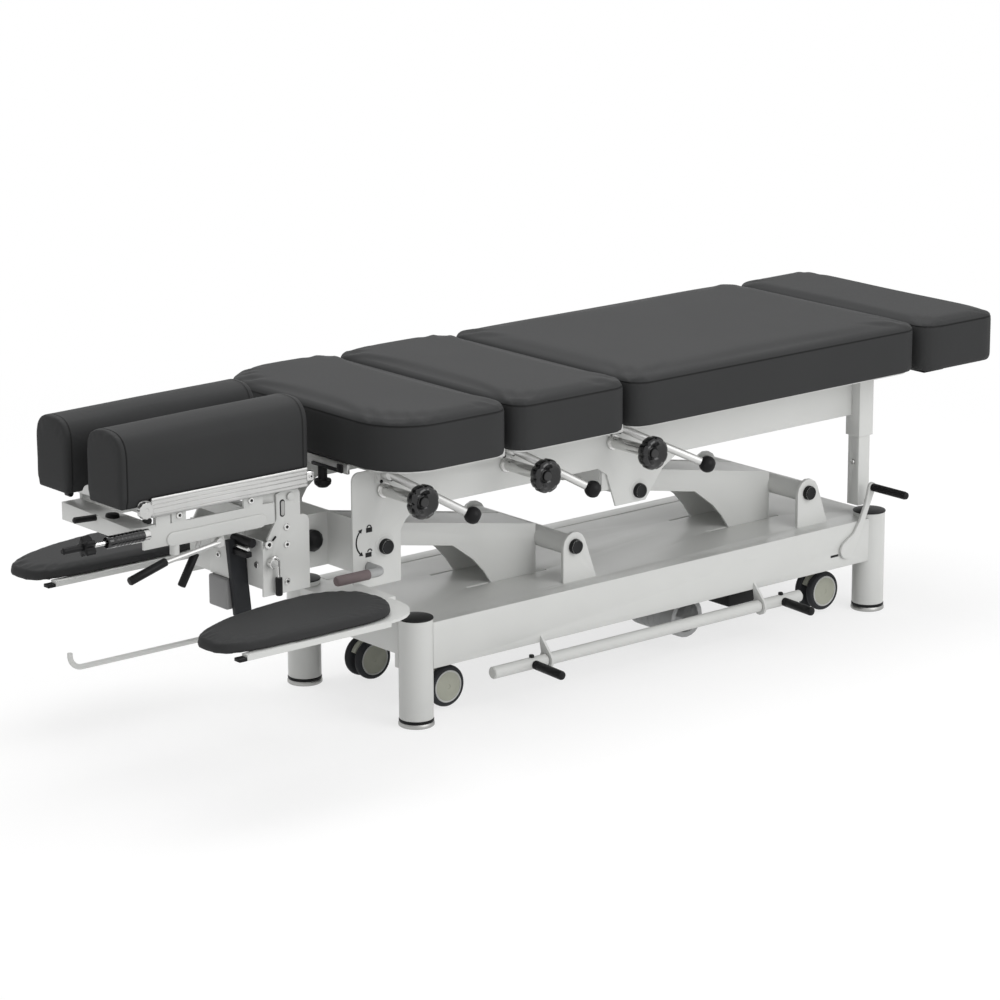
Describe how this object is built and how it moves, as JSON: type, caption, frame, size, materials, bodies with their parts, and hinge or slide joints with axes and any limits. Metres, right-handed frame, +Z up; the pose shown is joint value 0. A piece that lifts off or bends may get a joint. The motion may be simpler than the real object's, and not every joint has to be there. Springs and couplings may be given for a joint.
{
  "type": "chiropractic table",
  "caption": "Padded treatment table on a parallelogram lift, with drop sections cocked by side levers, split head rests, swing armrests and a castor base",
  "frame": {"origin": "on the floor under the middle of the overall outer size", "axes": "+X toward the foot end, -Y the side with the knobs and levers, +Z up"},
  "size_m": [2.054, 0.767, 0.638],
  "materials": {
    "white": "satin white powder coat",
    "black": "moulded black plastic",
    "steel": "bright plated steel",
    "aluminium": "anodised extrusion",
    "grey": "satin grey paint",
    "black_metal": "satin black paint",
    "leather": "charcoal synthetic leather",
    "tyre": "dark grey tread with grey discs",
    "brown": "brown-grey sleeve"
  },
  "bodies": {
    "base": {"tray": "white", "leg_head_front": "white", "leg_head_back": "white", "leg_foot_front": "white", "leg_foot_back": "white", "control_box": "grey"},
    "arm_head": {"lift_arm_head": "white"},
    "arm_foot": {"lift_arm_foot": "white"},
    "top_frame": {"side_plate_front": "white", "side_plate_back": "white", "cross_web_mid": "white", "cross_web_foot": "white", "head_bracket": "white", "head_column": "black_metal", "post_outer": "white"},
    "actuator": {"actuator_body": "grey"},
    "pusher": {"actuator_rod": "steel"},
    "castor_lift": {"castor_lift_frame": "white"},
    "lift_lever": {"castor_lift_lever": "white"},
    "foot_bar": {"front_foot_bar": "steel"},
    "end_rod": {"head_end_rod": "steel"},
    "post": {"post_inner": "grey"},
    "button": {"post_button": "steel"},
    "foot_section": {"foot_slide_frame": "aluminium", "cushion_foot": "leather"},
    "head_tilt": {"head_tilt_frame": "white"},
    "head_rest_front": {"head_rail_front": "aluminium", "head_cushion_front": "leather"},
    "head_rest_back": {"head_rail_back": "aluminium", "head_cushion_back": "leather"},
    "head_handle": {"head_handle": "black"},
    "star_knob": {"head_star_knob": "black"},
    "clamp_lever": {"head_clamp_lever": "steel"},
    "release_lever": {"head_release_lever": "steel"},
    "carrier_knob": {"carrier_knob": "black"},
    "pull_handle": {"pull_handle": "brown"},
    "armrest_front": {"armrest_pad_front": "leather", "armrest_swing_plate_front": "white"},
    "armrest_back": {"armrest_pad_back": "leather", "armrest_swing_plate_back": "white"},
    "castor_head_front": {"castor_fork_head_front": "grey"},
    "wheel_head_front": {"castor_wheel_head_front": "tyre"},
    "castor_head_back": {"castor_fork_head_back": "grey"},
    "wheel_head_back": {"castor_wheel_head_back": "tyre"},
    "castor_foot_front": {"castor_fork_foot_front": "grey"},
    "wheel_foot_front": {"castor_wheel_foot_front": "tyre"},
    "castor_foot_back": {"castor_fork_foot_back": "grey"},
    "wheel_foot_back": {"castor_wheel_foot_back": "tyre"},
    "section_thoracic": {"board_thoracic": "aluminium", "cushion_thoracic": "leather"},
    "lever_thoracic": {"cocking_lever_thoracic": "steel"},
    "knob_thoracic": {"tension_knob_thoracic": "black"},
    "section_lumbar": {"board_lumbar": "aluminium", "cushion_lumbar": "leather"},
    "lever_lumbar": {"cocking_lever_lumbar": "steel"},
    "knob_lumbar": {"tension_knob_lumbar": "black"},
    "section_pelvic": {"board_pelvic": "aluminium", "cushion_pelvic": "leather"},
    "lever_pelvic": {"cocking_lever_pelvic": "steel"},
    "knob_pelvic": {"tension_knob_pelvic": "black"}
  },
  "joints": [
    {"name": "lift", "type": "hinge", "parent": "base", "child": "arm_head", "pos_m": [0.032, 0, 0.262], "axis": [0, 1, 0], "range_deg": [0, 38]},
    {"name": "foot_arm_pivot", "type": "hinge", "parent": "base", "child": "arm_foot", "pos_m": [0.64, 0, 0.262], "axis": [0, 1, 0], "range_deg": [0, 38]},
    {"name": "frame_pivot", "type": "hinge", "parent": "arm_head", "child": "top_frame", "pos_m": [-0.416, 0, 0.343], "axis": [0, 1, 0], "range_deg": [-38, 0]},
    {"name": "actuator_tail", "type": "hinge", "parent": "base", "child": "actuator", "pos_m": [0.406, 0, 0.11], "axis": [0, 1, 0], "range_deg": [0, 4.86]},
    {"name": "pusher_pin", "type": "hinge", "parent": "arm_head", "child": "pusher", "pos_m": [0.002, 0, 0.124], "axis": [0, 1, 0], "range_deg": [-33.14, 0]},
    {"name": "castor_lever", "type": "hinge", "parent": "base", "child": "lift_lever", "pos_m": [0.706, -0.192, 0.142], "axis": [0, -1, 0], "range_deg": [0, 40]},
    {"name": "castor_drop", "type": "slide", "parent": "base", "child": "castor_lift", "axis": [0, 0, -1], "range_m": [0, 0.009]},
    {"name": "swivel_head_front", "type": "hinge", "parent": "castor_lift", "child": "castor_head_front", "pos_m": [-0.245, -0.11, 0.0915], "axis": [0, 0, 1], "continuous": true},
    {"name": "roll_head_front", "type": "hinge", "parent": "castor_head_front", "child": "wheel_head_front", "pos_m": [-0.259, -0.11, 0.0425], "axis": [0, 1, 0], "continuous": true},
    {"name": "swivel_head_back", "type": "hinge", "parent": "castor_lift", "child": "castor_head_back", "pos_m": [-0.245, 0.11, 0.0915], "axis": [0, 0, 1], "continuous": true},
    {"name": "roll_head_back", "type": "hinge", "parent": "castor_head_back", "child": "wheel_head_back", "pos_m": [-0.259, 0.11, 0.0425], "axis": [0, 1, 0], "continuous": true},
    {"name": "swivel_foot_front", "type": "hinge", "parent": "castor_lift", "child": "castor_foot_front", "pos_m": [0.723, -0.11, 0.0915], "axis": [0, 0, 1], "continuous": true},
    {"name": "roll_foot_front", "type": "hinge", "parent": "castor_foot_front", "child": "wheel_foot_front", "pos_m": [0.709, -0.11, 0.0425], "axis": [0, 1, 0], "continuous": true},
    {"name": "swivel_foot_back", "type": "hinge", "parent": "castor_lift", "child": "castor_foot_back", "pos_m": [0.723, 0.11, 0.0915], "axis": [0, 0, 1], "continuous": true},
    {"name": "roll_foot_back", "type": "hinge", "parent": "castor_foot_back", "child": "wheel_foot_back", "pos_m": [0.709, 0.11, 0.0425], "axis": [0, 1, 0], "continuous": true},
    {"name": "foot_bar_rock", "type": "hinge", "parent": "base", "child": "foot_bar", "pos_m": [-0.209, -0.208, 0.077], "axis": [1, 0, 0], "range_deg": [-8, 8]},
    {"name": "end_rod_pivot", "type": "hinge", "parent": "base", "child": "end_rod", "pos_m": [-0.386, 0.035, 0.18], "axis": [0, 1, 0], "range_deg": [-3, 3]},
    {"name": "post_slide", "type": "slide", "parent": "top_frame", "child": "post", "axis": [0, 0, 1], "range_m": [0, 0.04]},
    {"name": "button_press", "type": "slide", "parent": "post", "child": "button", "axis": [1, 0, 0], "range_m": [0, 0.0025], "stiffness_N_per_m": 1000, "springref_m": -0.001},
    {"name": "cock_thoracic", "type": "hinge", "parent": "top_frame", "child": "lever_thoracic", "pos_m": [-0.418, -0.15, 0.48], "axis": [0, -1, 0], "range_deg": [0, 33]},
    {"name": "drop_thoracic", "type": "hinge", "parent": "top_frame", "child": "section_thoracic", "pos_m": [-0.23, 0, 0.4938], "axis": [0, 1, 0], "range_deg": [0, 2]},
    {"name": "tension_thoracic", "type": "hinge", "parent": "top_frame", "child": "knob_thoracic", "pos_m": [-0.418, -0.262, 0.448], "axis": [0, -1, 0], "continuous": true},
    {"name": "cock_lumbar", "type": "hinge", "parent": "top_frame", "child": "lever_lumbar", "pos_m": [-0.134, -0.15, 0.48], "axis": [0, -1, 0], "range_deg": [0, 33]},
    {"name": "drop_lumbar", "type": "hinge", "parent": "top_frame", "child": "section_lumbar", "pos_m": [0.052, 0, 0.4938], "axis": [0, 1, 0], "range_deg": [0, 1.8]},
    {"name": "tension_lumbar", "type": "hinge", "parent": "top_frame", "child": "knob_lumbar", "pos_m": [-0.134, -0.262, 0.448], "axis": [0, -1, 0], "continuous": true},
    {"name": "cock_pelvic", "type": "hinge", "parent": "top_frame", "child": "lever_pelvic", "pos_m": [0.126, -0.15, 0.48], "axis": [0, -1, 0], "range_deg": [0, 33]},
    {"name": "drop_pelvic", "type": "hinge", "parent": "top_frame", "child": "section_pelvic", "pos_m": [0.748, 0, 0.4938], "axis": [0, 1, 0], "range_deg": [0, 1.2]},
    {"name": "tension_pelvic", "type": "hinge", "parent": "top_frame", "child": "knob_pelvic", "pos_m": [0.126, -0.262, 0.448], "axis": [0, -1, 0], "continuous": true},
    {"name": "foot_slide", "type": "slide", "parent": "top_frame", "child": "foot_section", "axis": [1, 0, 0], "range_m": [0, 0.1]},
    {"name": "head_tilt", "type": "hinge", "parent": "top_frame", "child": "head_tilt", "pos_m": [-0.597, 0, 0.459], "axis": [0, 1, 0], "range_deg": [-20, 4]},
    {"name": "head_width_front", "type": "slide", "parent": "head_tilt", "child": "head_rest_front", "axis": [0, -1, 0], "range_m": [0, 0.015]},
    {"name": "head_width_back", "type": "slide", "parent": "head_tilt", "child": "head_rest_back", "axis": [0, 1, 0], "range_m": [0, 0.015]},
    {"name": "head_handle_turn", "type": "hinge", "parent": "head_tilt", "child": "head_handle", "pos_m": [-0.922, -0.118, 0.45], "axis": [0, 1, 0], "range_deg": [0, 12]},
    {"name": "star_knob_turn", "type": "hinge", "parent": "head_handle", "child": "star_knob", "pos_m": [-0.989, -0.134, 0.45], "axis": [-1, 0, 0], "continuous": true},
    {"name": "clamp_turn", "type": "hinge", "parent": "top_frame", "child": "clamp_lever", "pos_m": [-0.642, -0.11, 0.345], "axis": [0, 1, 0], "range_deg": [-25, 25]},
    {"name": "release_turn", "type": "hinge", "parent": "head_tilt", "child": "release_lever", "pos_m": [-0.754, -0.118, 0.403], "axis": [0, 1, 0], "range_deg": [-15, 0]},
    {"name": "carrier_knob_turn", "type": "hinge", "parent": "top_frame", "child": "carrier_knob", "pos_m": [-0.512, -0.058, 0.352], "axis": [0, -1, 0], "continuous": true},
    {"name": "pull_turn", "type": "hinge", "parent": "top_frame", "child": "pull_handle", "pos_m": [-0.452, -0.17, 0.311], "axis": [0, 1, 0], "range_deg": [0, 20]},
    {"name": "armrest_swing_front", "type": "hinge", "parent": "top_frame", "child": "armrest_front", "pos_m": [-0.529, -0.235, 0.2837], "axis": [0, 0, 1], "range_deg": [0, 80]},
    {"name": "armrest_swing_back", "type": "hinge", "parent": "top_frame", "child": "armrest_back", "pos_m": [-0.529, 0.235, 0.2837], "axis": [0, 0, -1], "range_deg": [0, 80]}
  ],
  "couplings": [
    {"joint": "foot_arm_pivot", "follows": "lift", "ratio": 1},
    {"joint": "frame_pivot", "follows": "lift", "ratio": -1},
    {"joint": "actuator_tail", "follows": "lift", "ratio": 0.1278},
    {"joint": "pusher_pin", "follows": "lift", "ratio": -0.8722},
    {"joint": "castor_drop", "follows": "castor_lever", "m_per_rad": 0.012892},
    {"joint": "drop_thoracic", "follows": "cock_thoracic", "ratio": 0.060606},
    {"joint": "drop_lumbar", "follows": "cock_lumbar", "ratio": 0.054545},
    {"joint": "drop_pelvic", "follows": "cock_pelvic", "ratio": 0.036364}
  ]
}
